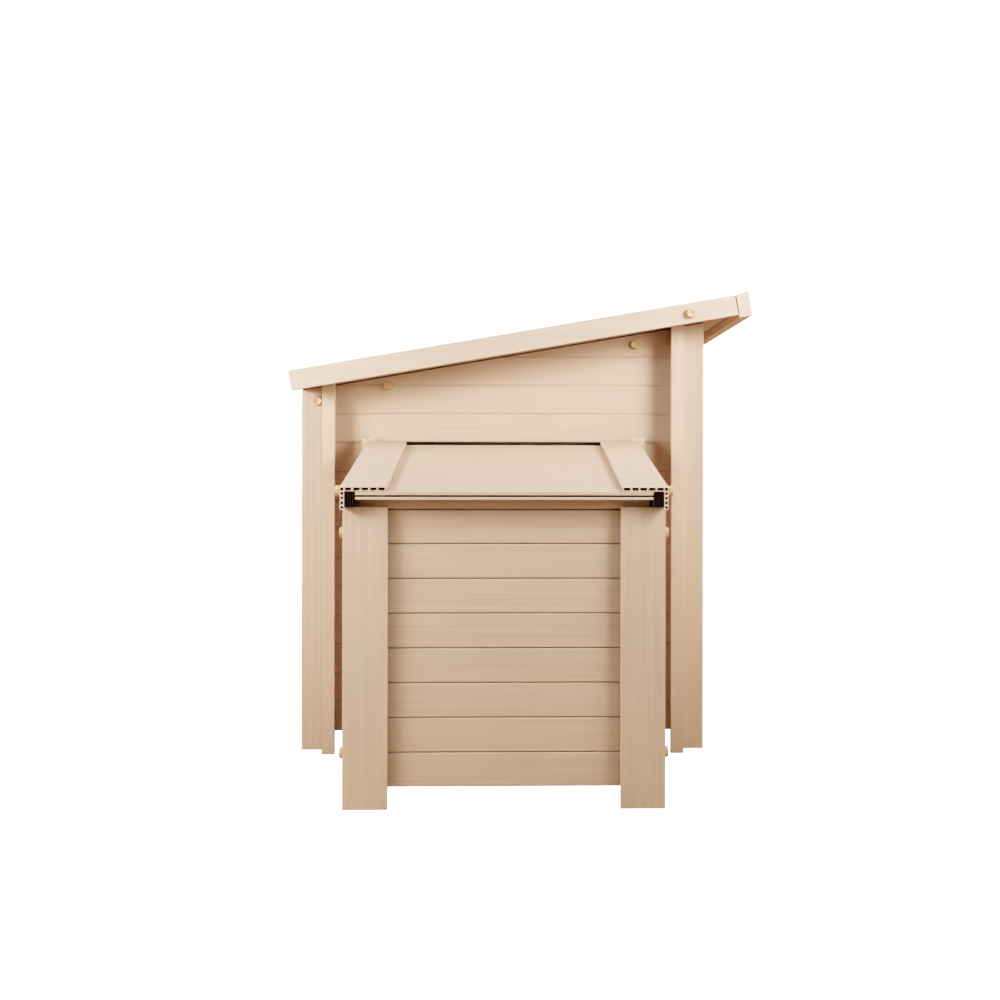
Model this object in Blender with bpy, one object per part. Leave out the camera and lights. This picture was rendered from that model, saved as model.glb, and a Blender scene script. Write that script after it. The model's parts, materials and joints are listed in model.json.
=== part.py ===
"""Chicken coop of hollow wood-plastic extrusions, with a nest box that stands out of one end.

The coop is drawn with X across it, Y along it (the nest box at low Y) and Z up, in metres. X is 0
on the middle of the nest box, Y is 0 on the nest legs' front faces, and Z is 0 on the ground. One
empty then shifts it all, so that the object's box is centred on X = Y = 0.
"""
import math

import bmesh
import bpy
from mathutils import Vector

# ---- driving dimensions -------------------------------------------------------------------------
GAP = 0.0003                  # clearance between pieces that touch
PLANK_PITCH = 0.0722          # height of one wall plank
PLANK_THICKNESS = 0.012
GROOVE = 0.0025               # half width and depth of the V between two planks
WALL_BASE = 0.0469            # underside of the house walls
ANGLE_WALL = 0.0095           # wall of the hollow angle extrusion
ANGLE_SHORT = 0.047

HOUSE_HALF_WIDTH = 0.5035     # outer faces of the corner posts
HOUSE_NEAR = 0.376            # end faces of the corner posts, nest end
HOUSE_MIDDLE = 0.875          # the far end mirrors the near end about this Y
POST_END_LEG = 0.050
POST_SIDE_LEG = 0.100
STILE_INNER, STILE_OUTER = 0.4146, 0.446
STILE_DEPTH = 0.046           # from its face back to the wall's planks
STILE_WALL = 0.0095

ROOF_ANGLE = math.radians(9.79)
ROOF_LOW_X = -0.5138          # top corner of the low edge
ROOF_MIDDLE_TOP = 1.0245      # top of the roof at X = 0
ROOF_LENGTH = 1.0847          # along the slope, without the fascia
ROOF_NEAR = 0.276
ROOF_RAIL_WIDTH, ROOF_RAIL_HEIGHT = 0.100, 0.0484
ROOF_PANEL = 0.0277           # thickness of the roof sheets
FASCIA_GAP = 0.0015           # seam between the roof rails' ends and the fascia
FASCIA_WIDTH, FASCIA_HEIGHT = 0.0318, 0.055
FASCIA_LIFT = 0.0045          # the fascia's outer top edge above the roof rails' top

NEST_HALF_WIDTH = 0.333
NEST_LEG_INNER = 0.2407
NEST_LEG_TOP = 0.623
NEST_BASE = 0.0402
NEST_PLANKS = 8
NEST_PLANK_FACE = 0.018
NEST_SIDE_OUTER = 0.3232
REAR_POST_INNER, REAR_POST_OUTER = 0.316, 0.350
REAR_POST_FRONT, REAR_POST_TOP = 0.3505, 0.781

LID_SLOPE = 0.2815
LID_FRONT, LID_BACK = -0.026, 0.349
LID_FRONT_TOP = 0.6646
LID_HALF_WIDTH, LID_RAIL_INNER = 0.334, 0.240
LID_PANEL_HALF, LID_CROSS_HALF = 0.303, 0.302
LID_PANEL_THICKNESS = 0.0165
LID_AXIS_Y, LID_AXIS_Z = 0.364, 0.752
PEG_RADIUS = 0.006

DOOR_NEAR, DOOR_FAR = 0.570, 0.870
DOOR_ROWS = (1, 6)            # plank rows that the hen door's opening takes out
WINDOW_NEAR, WINDOW_FAR = 0.650, 1.100
WINDOW_ROWS = (9, 12)
NEST_OPENING_HALF = 0.300
NEST_OPENING_ROWS = (1, 10)

# ---- sizes that follow from them ----------------------------------------------------------------
PLANK_FACE = HOUSE_NEAR + ANGLE_WALL + GAP * 2        # outer face of the near end wall
WALL_INNER = PLANK_FACE + PLANK_THICKNESS             # inner face of the near end wall
SIDE_FACE = HOUSE_HALF_WIDTH - ANGLE_WALL - GAP * 2   # outer faces of the two long walls
SIDE_INNER = SIDE_FACE - PLANK_THICKNESS
FAR_SHIFT = 2 * HOUSE_MIDDLE                          # y mirrors to FAR_SHIFT - y
STILE_FRONT = PLANK_FACE - GAP - STILE_DEPTH           # face of the near end's stiles
ROOF_FAR = FAR_SHIFT - ROOF_NEAR
ROOF_SLOPE = math.tan(ROOF_ANGLE)
ROOF_DEPTH = ANGLE_WALL + GAP + ROOF_PANEL            # top of the roof rails to the sheets' underside
UNDER_ROOF = 0.002                                    # posts and walls stop this far below the sheets
LOW_POST_GAP = 0.0006                                 # the low posts reach up to the sheets

# The bounding box reaches from the low roof corner to the fascia's lower corner, and from the lid's
# front edge to the far roof rail.
BOX_HIGH_X = (ROOF_LOW_X + (ROOF_LENGTH + FASCIA_GAP + FASCIA_WIDTH) * math.cos(ROOF_ANGLE)
              + FASCIA_HEIGHT * math.sin(ROOF_ANGLE))
CENTRE = Vector(((ROOF_LOW_X + BOX_HIGH_X) / 2, (LID_FRONT + ROOF_FAR) / 2, 0.0))


def roof_under(x):
    """Height of the roof sheets' underside at x."""
    return ROOF_MIDDLE_TOP + ROOF_SLOPE * x - ROOF_DEPTH / math.cos(ROOF_ANGLE)


def row(count):
    """Height of the house wall's joint above its first `count` planks."""
    return WALL_BASE + count * PLANK_PITCH


def lid_top(y):
    """Height of the lid rails' top at y."""
    return LID_FRONT_TOP + LID_SLOPE * (y - LID_FRONT)


# ---- materials ----------------------------------------------------------------------------------
def material(name, colour, roughness, metallic=0.0):
    """A Principled material with one colour."""
    made = bpy.data.materials.new(name)
    made.use_nodes = True
    shader = made.node_tree.nodes["Principled BSDF"]
    shader.inputs["Base Color"].default_value = (*colour, 1.0)
    shader.inputs["Roughness"].default_value = roughness
    shader.inputs["Metallic"].default_value = metallic
    return made


for leftover in list(bpy.data.objects):
    bpy.data.objects.remove(leftover)

COMPOSITE = material("composite", (0.78, 0.68, 0.56), 0.62)
TRAY = material("tray_sheet", (0.60, 0.60, 0.58), 0.45)
STEEL = material("zinc_steel", (0.62, 0.62, 0.60), 0.35, 1.0)

SHIFT = bpy.data.objects.new("coop_origin", None)
SHIFT.location = -CENTRE
bpy.context.collection.objects.link(SHIFT)


# ---- shapes -------------------------------------------------------------------------------------
def add_object(name, bm, finish, guide=False):
    """Link a bmesh as an object under the shifting empty; a guide is a cutter that isn't built."""
    bmesh.ops.recalc_face_normals(bm, faces=bm.faces)
    mesh = bpy.data.meshes.new(name)
    bm.to_mesh(mesh)
    bm.free()
    mesh.materials.append(finish)
    made = bpy.data.objects.new(name, mesh)
    made.parent = SHIFT
    bpy.context.collection.objects.link(made)
    if guide:
        made.hide_render = True
        made.display_type = "WIRE"
    return made


def value(rule, a, b):
    """A number, or a rule that gives one from the two profile coordinates."""
    return rule(a, b) if callable(rule) else rule


PLACES = {
    "X": lambda a, b, t: (t, a, b),
    "Y": lambda a, b, t: (a, t, b),
    "Z": lambda a, b, t: (a, b, t),
}


def sweep(name, outline, axis, start, end, finish=COMPOSITE, holes=(), slope=0.0, guide=False):
    """Sweep a profile with holes along an axis.

    The profile's coordinates are (y, z) along X, (x, z) along Y and (x, y) along Z. start and end
    are numbers, or rules of the profile's coordinates for a slanted cut. slope lifts the profile
    per metre of Y, which makes a piece lie on the lid's slope.
    """
    bm = bmesh.new()
    loops = [outline, *holes]
    ends = []
    for rule in (start, end):
        edges = []
        rings = []
        for loop in loops:
            ring = []
            for a, b in loop:
                x, y, z = PLACES[axis](a, b, value(rule, a, b))
                ring.append(bm.verts.new((x, y, z + slope * y)))
            for index, vert in enumerate(ring):
                edges.append(bm.edges.new((vert, ring[(index + 1) % len(ring)])))
            rings.append(ring)
        if holes:
            bmesh.ops.triangle_fill(bm, edges=edges, use_beauty=True)
        else:
            bm.faces.new(rings[0])
        ends.append(rings)
    for first, last in zip(*ends):
        for index, vert in enumerate(first):
            after = (index + 1) % len(first)
            bm.faces.new((vert, first[after], last[after], last[index]))
    return add_object(name, bm, finish, guide)


def rectangle(a_low, b_low, a_high, b_high):
    """Corners of an upright rectangle."""
    return [(a_low, b_low), (a_high, b_low), (a_high, b_high), (a_low, b_high)]


def circle(a, b, radius, sides=12):
    """Points on a circle, the first half a side off the a axis."""
    turns = [2 * math.pi * (index + 0.5) / sides for index in range(sides)]
    return [(a + radius * math.cos(turn), b + radius * math.sin(turn)) for turn in turns]


def box(name, low, high, finish=COMPOSITE, guide=False):
    """An upright box."""
    return sweep(name, rectangle(*low[:2], *high[:2]), "Z", low[2], high[2], finish, guide=guide)


def cut(target, *cutters):
    """Cut closed guide shapes out of an object."""
    for cutter in cutters:
        modifier = target.modifiers.new("cut_" + cutter.name, "BOOLEAN")
        modifier.operation = "DIFFERENCE"
        modifier.solver = "EXACT"
        modifier.object = cutter
    return target


def unite(target, guide):
    """Join a closed guide shape to an object."""
    modifier = target.modifiers.new("join_" + guide.name, "BOOLEAN")
    modifier.operation = "UNION"
    modifier.solver = "EXACT"
    modifier.object = guide
    return target


# The hollow angle extrusion has rectangular cells in its long leg, one square cell in its corner
# and round cells in its short leg.
LONG_CELLS, SHORT_CELLS = 5, 4
CELL_WEB = 0.0028
CELL_SKIN = 0.0021


def angle_profile(long_leg, short_leg):
    """Outline and cells: long leg along +a, short leg along -b, outer corner at (0, 0)."""
    wall = ANGLE_WALL
    outline = [(0, 0), (0, -short_leg), (wall, -short_leg), (wall, -wall), (long_leg, -wall), (long_leg, 0)]
    cells = [rectangle(CELL_SKIN, -wall + CELL_SKIN, wall - CELL_SKIN, -CELL_SKIN)]
    pitch = (long_leg - wall) / LONG_CELLS
    for index in range(LONG_CELLS):
        left = wall + index * pitch
        cells.append(rectangle(left + CELL_WEB / 2, -wall + CELL_SKIN, left + pitch - CELL_WEB, -CELL_SKIN))
    pitch = (short_leg - wall) / SHORT_CELLS
    for index in range(SHORT_CELLS):
        cells.append(circle(wall / 2, -wall - (index + 0.45) * pitch, wall / 2 - CELL_SKIN, 8))
    return outline, cells


def place_profile(profile, origin, long_axis, short_axis):
    """Turn an angle profile, its long leg along long_axis and its short leg along short_axis."""
    outline, cells = profile

    def moved(points):
        return [(origin[0] + a * long_axis[0] - b * short_axis[0],
                 origin[1] + a * long_axis[1] - b * short_axis[1]) for a, b in points]
    return moved(outline), [moved(cell) for cell in cells]


def planks(name, axis, face, outward, low, high, start, end):
    """A wall of planks with a V between each two: face is its outer face, outward is +1 or -1."""
    inner = face - outward * PLANK_THICKNESS
    outline = [(inner, low), (face, low)]
    joint = low + PLANK_PITCH
    while joint < high - GROOVE * 2:
        outline += [(face, joint - GROOVE), (face - outward * GROOVE, joint), (face, joint + GROOVE)]
        joint += PLANK_PITCH
    outline += [(face, high), (inner, high)]
    return sweep(name, outline, axis, start, end)


# ---- house frame --------------------------------------------------------------------------------
def side_name(side):
    """The roof is low on -X and high on +X."""
    return "low" if side < 0 else "high"


def end_y(y, end):
    """A near-end Y, or its mirror at the far end."""
    return y if end == "near" else FAR_SHIFT - y


def corner_posts_and_stiles():
    """Angle posts on the four corners, each with an upright stile beside it on the end wall."""
    for end in ("near", "far"):
        inward = 1 if end == "near" else -1
        for side in (-1, 1):
            # long leg along the long wall, short leg across the end wall
            profile = place_profile(angle_profile(POST_SIDE_LEG, POST_END_LEG),
                                    (side * HOUSE_HALF_WIDTH, end_y(HOUSE_NEAR, end)),
                                    (0, inward), (-side, 0))
            drop = LOW_POST_GAP if side < 0 else UNDER_ROOF
            sweep(f"corner_post_{end}_{side_name(side)}", profile[0], "Z", 0.0,
                  lambda x, y, drop=drop: roof_under(x) - drop, holes=profile[1])
            # the stile is an angle too: its face outwards, its deep leg back to the wall
            front, behind = STILE_FRONT, STILE_FRONT + STILE_WALL
            inner, outer = side * STILE_INNER, side * STILE_OUTER
            web, back = side * (STILE_OUTER - STILE_WALL), PLANK_FACE - GAP
            corners = [(inner, front), (outer, front), (outer, back), (web, back), (web, behind),
                       (inner, behind)]
            sweep(f"end_stile_{end}_{side_name(side)}", [(x, end_y(y, end)) for x, y in corners], "Z", 0.0,
                  lambda x, y: roof_under(x) - UNDER_ROOF)


END_WALL_HALF = 0.4930
TRAY_FRONT_HALF = 0.405
TRAY_ROOM = 0.002             # clearance round the tray in its slot
REACH = 0.1                   # how far a cutter stands out of the piece it cuts
ABOVE_ALL = 1.4               # a height over the whole coop


def end_walls():
    """Planked end walls with a sloped top; the near one opens into the nests, the far one lets the
    tray out."""
    for end in ("near", "far"):
        face = end_y(PLANK_FACE, end)
        outward = -1 if end == "near" else 1
        wall = planks(f"end_wall_{end}", "X", face, outward, WALL_BASE, roof_under(END_WALL_HALF),
                      -END_WALL_HALF, END_WALL_HALF)
        low, high = face - REACH, face + REACH
        beyond = END_WALL_HALF + REACH
        under = [(x, roof_under(x) - UNDER_ROOF) for x in (-beyond, beyond)]
        slope = sweep(f"cutter_slope_{end}", [*under, (beyond, ABOVE_ALL), (-beyond, ABOVE_ALL)], "Y",
                      low, high, guide=True)
        if end == "near":
            hole = box("cutter_nest_opening", (-NEST_OPENING_HALF, low, row(NEST_OPENING_ROWS[0])),
                       (NEST_OPENING_HALF, high, row(NEST_OPENING_ROWS[1])), guide=True)
        else:
            half = TRAY_FRONT_HALF + TRAY_ROOM
            hole = box("cutter_tray_slot", (-half, low, 0.0), (half, high, row(1)), guide=True)
        cut(wall, slope, hole)


LOW_WALL_TOP = 0.8928
HIGH_WALL_TOP = 1.0625


def long_walls():
    """Planked low and high walls; the high one has the hen door's opening and the window's."""
    start, end = WALL_INNER + GAP, FAR_SHIFT - WALL_INNER - GAP
    planks("long_wall_low", "Y", -SIDE_FACE, -1, WALL_BASE, LOW_WALL_TOP, start, end)
    wall = planks("long_wall_high", "Y", SIDE_FACE, 1, WALL_BASE, HIGH_WALL_TOP, start, end)
    inside, outside = SIDE_INNER - REACH, SIDE_FACE + REACH
    door = box("cutter_door", (inside, DOOR_NEAR, row(DOOR_ROWS[0])),
               (outside, DOOR_FAR, row(DOOR_ROWS[1])), guide=True)
    window = box("cutter_window", (inside, WINDOW_NEAR, row(WINDOW_ROWS[0])),
                 (outside, WINDOW_FAR, row(WINDOW_ROWS[1])), guide=True)
    cut(wall, door, window)


RAIL_THICK, RAIL_HIGH = 0.033, 0.040
RAIL_DROP = 0.003             # the top rails' clearance below the roof sheets
LOW_RAIL_BASE, HIGH_RAIL_BASE = 0.8538, 1.0145


def top_rails():
    """Rails inside the walls: two level ones along the long walls and two sloped ones on the ends."""
    start, end = WALL_INNER + GAP, FAR_SHIFT - WALL_INNER - GAP
    outer = SIDE_INNER - GAP
    inner = outer - RAIL_THICK
    box("top_rail_low", (-outer, start, LOW_RAIL_BASE), (-inner, end, LOW_RAIL_BASE + RAIL_HIGH))
    box("top_rail_high", (inner, start, HIGH_RAIL_BASE), (outer, end, HIGH_RAIL_BASE + RAIL_HIGH))
    for side in ("near", "far"):
        front, back = sorted((end_y(start, side), end_y(start + RAIL_THICK, side)))
        half = inner - GAP
        top = [(x, roof_under(x) - RAIL_DROP) for x in (-half, half)]
        bottom = [(x, z - RAIL_HIGH) for x, z in reversed(top)]
        sweep(f"top_rail_{side}", [*top, *bottom], "Y", front, back)


# ---- tray and roosts ----------------------------------------------------------------------------
TRAY_HALF = 0.400
TRAY_BASE, TRAY_RIM = 0.062, 0.086
TRAY_SHEET = 0.004
TRAY_FRONT_TOP = 0.1179
TRAY_BACK_ROOM = 0.004        # room behind the pan when it is home
RUNNER_LAP = 0.030            # how far the tray rests on each runner
RUNNER_BASE = 0.0415
GRIP_HALF = 0.050             # half the straight part of the grip slot
GRIP_LOW, GRIP_HIGH = 0.089, 0.108


def open_box(name, low, high, sheet, finish):
    """A pan: a box that is open on top, with walls and a floor of one thickness."""
    bm = bmesh.new()

    def ring(inset, z):
        corners = rectangle(low[0] + inset, low[1] + inset, high[0] - inset, high[1] - inset)
        return [bm.verts.new((x, y, z)) for x, y in corners]
    rings = [ring(0, low[2]), ring(0, high[2]), ring(sheet, high[2]), ring(sheet, low[2] + sheet)]
    bm.faces.new(rings[0])
    bm.faces.new(rings[-1])
    for lower, upper in zip(rings, rings[1:]):
        for index in range(4):
            after = (index + 1) % 4
            bm.faces.new((lower[index], lower[after], upper[after], upper[index]))
    return add_object(name, bm, finish)


def tray():
    """The dropping tray slides out of the far end by a grip slot in its front. It runs on two boards
    that also close the floor beside it."""
    far_inner = FAR_SHIFT - WALL_INNER
    open_box("tray_pan", (-TRAY_HALF, WALL_INNER + TRAY_BACK_ROOM, TRAY_BASE),
             (TRAY_HALF, far_inner - GAP, TRAY_RIM), TRAY_SHEET, TRAY)
    front = rectangle(-TRAY_FRONT_HALF, WALL_BASE + TRAY_ROOM, TRAY_FRONT_HALF, TRAY_FRONT_TOP)
    radius = (GRIP_HIGH - GRIP_LOW) / 2
    turns = [math.pi * (index / 6 - 0.5) for index in range(7)]
    right = [(GRIP_HALF + radius * math.cos(turn), GRIP_LOW + radius + radius * math.sin(turn))
             for turn in turns]
    slot = right + [(-x, z) for x, z in reversed(right)]
    sweep("tray_front", front, "Y", far_inner + GAP, far_inner + PLANK_THICKNESS, holes=[slot])
    for side in (-1, 1):
        left, right = sorted((side * (TRAY_HALF - RUNNER_LAP), side * (SIDE_INNER - GAP)))
        box(f"tray_runner_{side_name(side)}", (left, WALL_INNER + GAP, RUNNER_BASE),
            (right, far_inner - GAP, TRAY_BASE - GAP * 2))


ROOST_YS = (1.00, 1.22)
ROOST_WIDTH, ROOST_HIGH = 0.045, 0.033
ROOST_BASE = 0.440
ROOST_ROUND = 0.010           # radius of the bars' upper edges
LEDGER_DEPTH, LEDGER_THICK = 0.060, 0.033
LEDGER_RISE = 0.024           # the ledger's top above the bars' undersides
LEDGER_END = 0.045


def roosts():
    """Two rounded roost bars across the house, dropped into notches in a ledger on each long wall."""
    half = ROOST_WIDTH / 2
    reach = SIDE_INNER - GAP * 2
    for index, y in enumerate(ROOST_YS):
        a, b, radius = y + half - ROOST_ROUND, ROOST_BASE + ROOST_HIGH - ROOST_ROUND, ROOST_ROUND
        turns = [math.pi / 2 * step / 4 for step in range(5)]
        right = [(a + radius * math.cos(turn), b + radius * math.sin(turn)) for turn in turns]
        left = [(2 * y - a, b) for a, b in reversed(right)]
        outline = [(y - half, ROOST_BASE), (y + half, ROOST_BASE), *right, *left]
        sweep(f"roost_bar_{index + 1}", outline, "X", -reach, reach)
    for side in (-1, 1):
        near, far = ROOST_YS[0] - LEDGER_END, ROOST_YS[1] + LEDGER_END
        bottom, top = ROOST_BASE - LEDGER_DEPTH, ROOST_BASE + LEDGER_RISE
        outline = [(near, top), (near, bottom), (far, bottom), (far, top)]
        for y in reversed(ROOST_YS):
            slot = half + GAP * 3
            outline += [(y + slot, top), (y + slot, ROOST_BASE - GAP), (y - slot, ROOST_BASE - GAP),
                        (y - slot, top)]
        low, high = sorted((side * (SIDE_INNER - GAP), side * (SIDE_INNER - GAP - LEDGER_THICK)))
        sweep(f"roost_ledger_{side_name(side)}", outline, "X", low, high)


# ---- hen door and window ------------------------------------------------------------------------
DOOR_LAP = 0.010              # how far the door laps the wall round its opening
KNUCKLE = 0.0045              # outer radius of a hinge knuckle
HINGE_SHEET = 0.002
DOOR_PANEL_THICKNESS = 0.012
DOOR_AXIS_X = SIDE_FACE + GAP + DOOR_PANEL_THICKNESS + GAP + KNUCKLE
DOOR_AXIS_Z = 0.1094
CLEAT_HIGH, CLEAT_DEEP = 0.018, 0.008
CLEAT_BEVEL = 0.004
CLEATS = 4
FIRST_CLEAT, CLEAT_SPAN = 0.055, 0.080    # up the door, and what the row leaves of its height
CLEAT_SIDE_ROOM = 0.012       # from the opening's sides to the cleats' ends
DOOR_BOTTOM_LAP = 0.002
DOOR_LEAF_HALF, DOOR_KNUCKLE_HALF = 0.110, 0.045
MOVING_LEAF, FIXED_LEAF = 0.045, 0.040
KNUCKLE_ROOM = 0.0005         # end play of a knuckle


def leaf_profile(centre, leaf, direction, side, bore=0.0):
    """A hinge leaf with its knuckle: the leaf runs along `direction`, tangent to the knuckle on the
    side that `side` points to."""
    radius = KNUCKLE
    meet = math.acos(math.sqrt(radius ** 2 - (radius - HINGE_SHEET) ** 2) / radius)
    turns = [-meet + (1.5 * math.pi + meet) * step / 14 for step in range(15)]
    local = [(leaf, -radius), (leaf, HINGE_SHEET - radius)]
    local += [(radius * math.cos(turn), radius * math.sin(turn)) for turn in turns]

    def world(p, q):
        return (centre[0] + p * direction[0] - q * side[0], centre[1] + p * direction[1] - q * side[1])
    outline = [world(p, q) for p, q in local]
    holes = [[world(p, q) for p, q in circle(0, 0, bore, 10)]] if bore else []
    return outline, holes


def hen_door():
    """The hen door drops outwards on a hinge along its lower edge, and is then a ramp with cleats."""
    near, far = DOOR_NEAR - DOOR_LAP, DOOR_FAR + DOOR_LAP
    back = SIDE_FACE + GAP
    face = back + DOOR_PANEL_THICKNESS
    bottom, top = row(DOOR_ROWS[0]) - DOOR_BOTTOM_LAP, row(DOOR_ROWS[1]) + DOOR_LAP
    # The cleats stand on the inner face and pass through the opening, so each is part of the profile.
    outline = [(face, bottom), (face, top), (back, top)]
    room = top - bottom - CLEAT_SPAN
    for index in reversed(range(CLEATS)):
        low = bottom + FIRST_CLEAT + index * room / CLEATS
        outline += [(back, low + CLEAT_HIGH), (back - CLEAT_DEEP, low + CLEAT_HIGH - CLEAT_BEVEL),
                    (back - CLEAT_DEEP, low + CLEAT_BEVEL), (back, low)]
    outline += [(back, bottom)]
    door = sweep("hen_door", outline, "Y", near, far)
    low, high = bottom - REACH, top + REACH
    inside, skin = SIDE_FACE - REACH, back - 0.0002
    cut(door,
        box("cutter_cleats_near", (inside, near - REACH, low), (skin, DOOR_NEAR + CLEAT_SIDE_ROOM, high),
            guide=True),
        box("cutter_cleats_far", (inside, DOOR_FAR - CLEAT_SIDE_ROOM, low), (skin, far + REACH, high),
            guide=True))

    centre = (DOOR_AXIS_X, DOOR_AXIS_Z)
    middle = (near + far) / 2
    # moving leaf: up the door's face, knuckles at both ends; fixed leaf: down from the axis, one
    # knuckle in the middle, then back to the wall on its own foot
    moving, _ = leaf_profile(centre, MOVING_LEAF, (0, 1), (-1, 0))
    leaf = sweep("door_hinge_moving_leaf", moving, "Y", middle - DOOR_LEAF_HALF, middle + DOOR_LEAF_HALF,
                 STEEL)
    room = DOOR_KNUCKLE_HALF + KNUCKLE_ROOM
    cut(leaf, box("cutter_door_knuckle", (DOOR_AXIS_X - 0.006, middle - room, DOOR_AXIS_Z - 0.02),
                  (DOOR_AXIS_X + 0.02, middle + room, bottom + 0.001), guide=True))
    turns = [math.pi * (0.5 - step / 8) for step in range(9)]
    arc = [(DOOR_AXIS_X + KNUCKLE * math.cos(t), DOOR_AXIS_Z + KNUCKLE * math.sin(t)) for t in turns]
    under, toe = DOOR_AXIS_Z - KNUCKLE, DOOR_AXIS_Z - FIXED_LEAF
    foot = [(back, under), (back, toe), (back + HINGE_SHEET, toe),
            (back + HINGE_SHEET, under - HINGE_SHEET), (DOOR_AXIS_X, under - HINGE_SHEET)]
    lifted = [(DOOR_AXIS_X - KNUCKLE, under), (DOOR_AXIS_X - KNUCKLE, DOOR_AXIS_Z + KNUCKLE)]
    sweep("door_hinge_fixed_leaf", [*arc, *reversed(foot), *lifted], "Y", middle - DOOR_KNUCKLE_HALF,
          middle + DOOR_KNUCKLE_HALF, STEEL)


LATCH_Z = 0.5234
LATCH_REACH, LATCH_HALF = 0.058, 0.011
LATCH_THICK, LATCH_BOSS = 0.008, 0.0085
LATCH_ROOM = 0.0008           # the button's clearance over the door's face


def latch():
    """A turn button above the hen door, at rest beside it: a quarter turn brings it over the door."""
    middle = (DOOR_NEAR + DOOR_FAR) / 2
    front = SIDE_FACE + GAP + DOOR_PANEL_THICKNESS + LATCH_ROOM
    turns = [math.pi * (0.5 + step / 8) for step in range(9)]
    tail = [(middle + LATCH_HALF * math.cos(t), LATCH_Z + LATCH_HALF * math.sin(t)) for t in turns]
    tip = [(middle + LATCH_REACH - LATCH_HALF - LATCH_HALF * math.cos(t), LATCH_Z - LATCH_HALF * math.sin(t))
           for t in turns]
    button = sweep("door_latch", [*tail, *tip], "X", front, front + LATCH_THICK)
    boss = sweep("guide_latch_boss", circle(middle, LATCH_Z, LATCH_BOSS, 16), "X", SIDE_FACE + GAP,
                 front + LATCH_THICK / 2, guide=True)
    unite(button, boss)


GRILLE_LAP = 0.012            # how far the grille laps the wall round the opening
GRILLE_COLUMNS, GRILLE_ROWS = 9, 4
GRILLE_BAR, GRILLE_BORDER, GRILLE_THICK = 0.004, 0.016, 0.006


def vent_grille():
    """A welded grille in a frame, on the inner face of the high wall behind the window opening."""
    low, high = row(WINDOW_ROWS[0]) - GRILLE_LAP, row(WINDOW_ROWS[1]) + GRILLE_LAP
    near, far = WINDOW_NEAR - GRILLE_LAP, WINDOW_FAR + GRILLE_LAP
    wide = (far - near - 2 * GRILLE_BORDER + GRILLE_BAR) / GRILLE_COLUMNS
    tall = (high - low - 2 * GRILLE_BORDER + GRILLE_BAR) / GRILLE_ROWS
    meshes = []
    for i in range(GRILLE_COLUMNS):
        for j in range(GRILLE_ROWS):
            a, b = near + GRILLE_BORDER + i * wide, low + GRILLE_BORDER + j * tall
            meshes.append(rectangle(a, b, a + wide - GRILLE_BAR, b + tall - GRILLE_BAR))
    sweep("window_grille", rectangle(near, low, far, high), "X", SIDE_INNER - GAP - GRILLE_THICK,
          SIDE_INNER - GAP, STEEL, holes=meshes)


# ---- roof ---------------------------------------------------------------------------------------
def on_roof(made):
    """Lay a piece drawn in the roof's own frame (u along the slope, v = Y, w up) on the slope."""
    made.location = (ROOF_LOW_X, 0.0, ROOF_MIDDLE_TOP + ROOF_SLOPE * ROOF_LOW_X)
    made.rotation_euler = (0.0, -ROOF_ANGLE, 0.0)
    return made


RELIEF_LENGTH, RELIEF_DEPTH = 0.0136, 0.0021
RELIEF_ROOM = 0.002           # how much longer than the post the relief is
SHEET_ROOM = 0.001            # between a sheet's edge and its rail


def roof():
    """Two sheets held by hollow angle rails at both ends, with a fascia along the high edge."""
    for end in ("near", "far"):
        inward = 1 if end == "near" else -1
        profile = place_profile(angle_profile(ROOF_RAIL_WIDTH, ROOF_RAIL_HEIGHT),
                                (end_y(ROOF_NEAR, end), 0.0), (inward, 0), (0, -1))
        on_roof(sweep(f"roof_rail_{end}", profile[0], "X", 0.0, ROOF_LENGTH, holes=profile[1]))
        first, last = sorted((end_y(ROOF_NEAR + ANGLE_WALL + SHEET_ROOM, end),
                              end_y(HOUSE_MIDDLE - SHEET_ROOM / 2, end)))
        top = -ANGLE_WALL - GAP
        sheet = on_roof(sweep(f"roof_sheet_{end}", rectangle(first, top - ROOF_PANEL, last, top), "X",
                              SHEET_ROOM * 2, ROOF_LENGTH - SHEET_ROOM))
        # relief over the low post, so that the sheet's low edge clears the post as the roof turns up
        near, far = sorted((end_y(HOUSE_NEAR - RELIEF_ROOM, end),
                            end_y(HOUSE_NEAR + POST_SIDE_LEG + RELIEF_ROOM, end)))
        relief = box(f"cutter_relief_{end}", (-0.001, near, -ROOF_DEPTH - 0.001),
                     (RELIEF_LENGTH, far, RELIEF_DEPTH - ROOF_DEPTH), guide=True)
        cut(sheet, on_roof(relief))
    start = ROOF_LENGTH + FASCIA_GAP
    end = start + FASCIA_WIDTH
    outline = [(start, -FASCIA_HEIGHT), (end, -FASCIA_HEIGHT), (end, FASCIA_LIFT), (start, 0.0)]
    on_roof(sweep("roof_fascia", outline, "Y", ROOF_NEAR, ROOF_FAR))


HINGE_U = 0.00843             # the roof hinge's axis, in the roof's own frame
HINGE_W = -ROOF_DEPTH - GAP - KNUCKLE
ROOF_HINGE_X = ROOF_LOW_X + HINGE_U * math.cos(ROOF_ANGLE) - HINGE_W * math.sin(ROOF_ANGLE)
ROOF_HINGE_Z = (ROOF_MIDDLE_TOP + ROOF_SLOPE * ROOF_LOW_X + HINGE_U * math.sin(ROOF_ANGLE)
                + HINGE_W * math.cos(ROOF_ANGLE))
HINGE_BORE, HINGE_PIN = 0.0021, 0.0018
PIN_STICKS_OUT = 0.002
ROOF_WALL_LEAF, ROOF_SHEET_LEAF = 0.045, 0.040
ROOF_KNUCKLES = 5


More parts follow.
